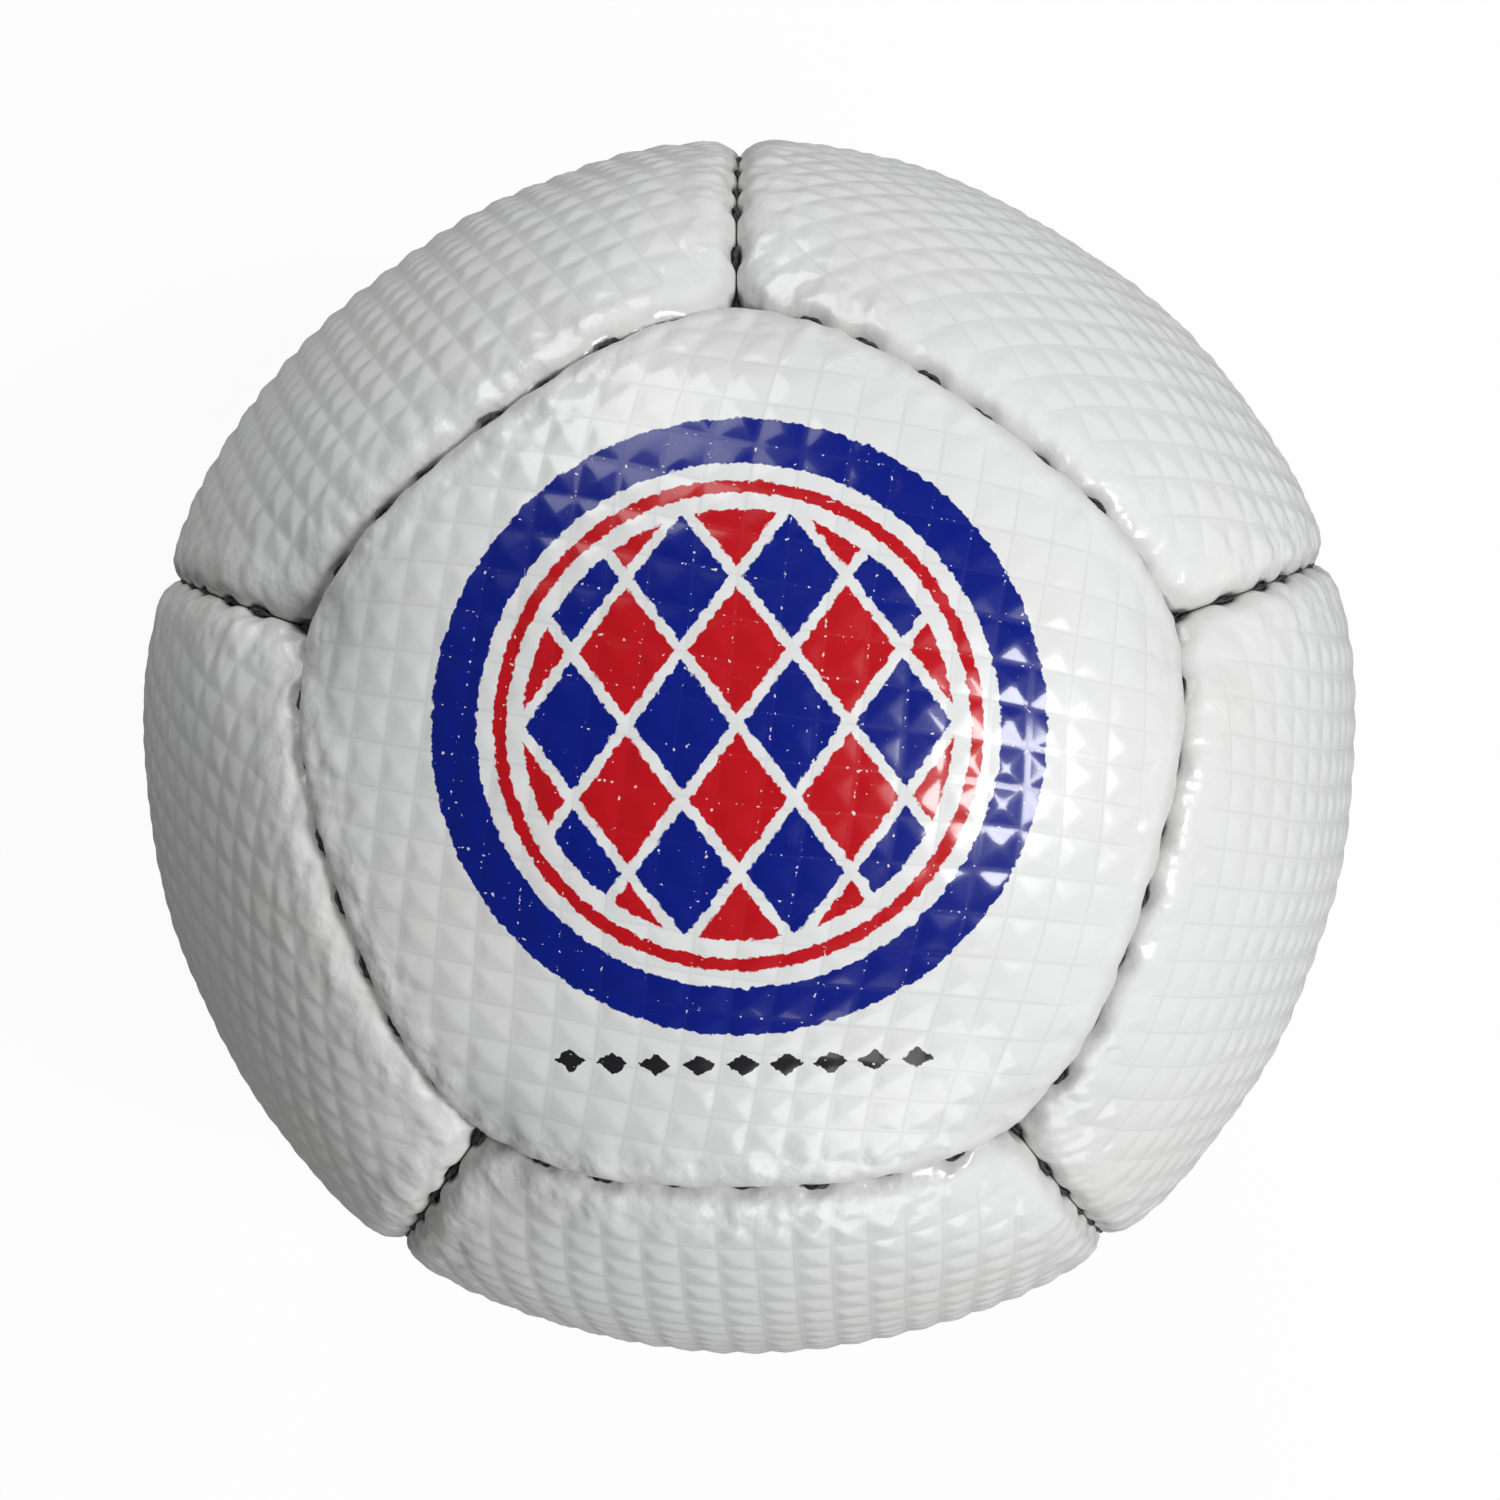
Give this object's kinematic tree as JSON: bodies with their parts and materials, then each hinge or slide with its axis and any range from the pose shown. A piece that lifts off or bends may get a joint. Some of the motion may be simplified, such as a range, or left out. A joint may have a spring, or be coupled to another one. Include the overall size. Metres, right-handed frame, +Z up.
{
  "type": "arena polo ball",
  "caption": "Hand-sewn arena polo ball: embossed white panels saddle-stitched over an air bladder, with a needle valve opposite the printed panel.",
  "frame": {"origin": "centre of the ball", "axes": "+Z up through the middle of the printed panel, as the ball lies; -Z out of the valve; +Y towards one corner of the printed panel, which is the top of its print"},
  "size_m": [0.114, 0.1144, 0.1125],
  "materials": {
    "skin": "glossy embossed synthetic leather",
    "foam": "closed-cell foam interlining",
    "lining": "woven cotton and polyester cloth",
    "thread": "waxed twisted polyester",
    "bladder": "matte butyl rubber",
    "valve_boss": "smooth moulded rubber",
    "valve_core": "smooth silicone rubber"
  },
  "bodies": {
    "root": {"top_skin": "skin", "upper_front_skin": "skin", "upper_right_skin": "skin", "upper_back_right_skin": "skin", "upper_back_left_skin": "skin", "upper_left_skin": "skin", "lower_front_left_skin": "skin", "lower_front_right_skin": "skin", "lower_right_skin": "skin", "lower_back_skin": "skin", "lower_left_skin": "skin", "bottom_skin": "skin", "top_foam": "foam", "upper_front_foam": "foam", "upper_right_foam": "foam", "upper_back_right_foam": "foam", "upper_back_left_foam": "foam", "upper_left_foam": "foam", "lower_front_left_foam": "foam", "lower_front_right_foam": "foam", "lower_right_foam": "foam", "lower_back_foam": "foam", "lower_left_foam": "foam", "bottom_foam": "foam", "top_lining": "lining", "upper_front_lining": "lining", "upper_right_lining": "lining", "upper_back_right_lining": "lining", "upper_back_left_lining": "lining", "upper_left_lining": "lining", "lower_front_left_lining": "lining", "lower_front_right_lining": "lining", "lower_right_lining": "lining", "lower_back_lining": "lining", "lower_left_lining": "lining", "bottom_lining": "lining", "outer_thread": "thread", "inner_thread": "thread", "bladder": "bladder", "valve_boss": "valve_boss", "valve_core": "valve_core"}
  },
  "joints": []
}
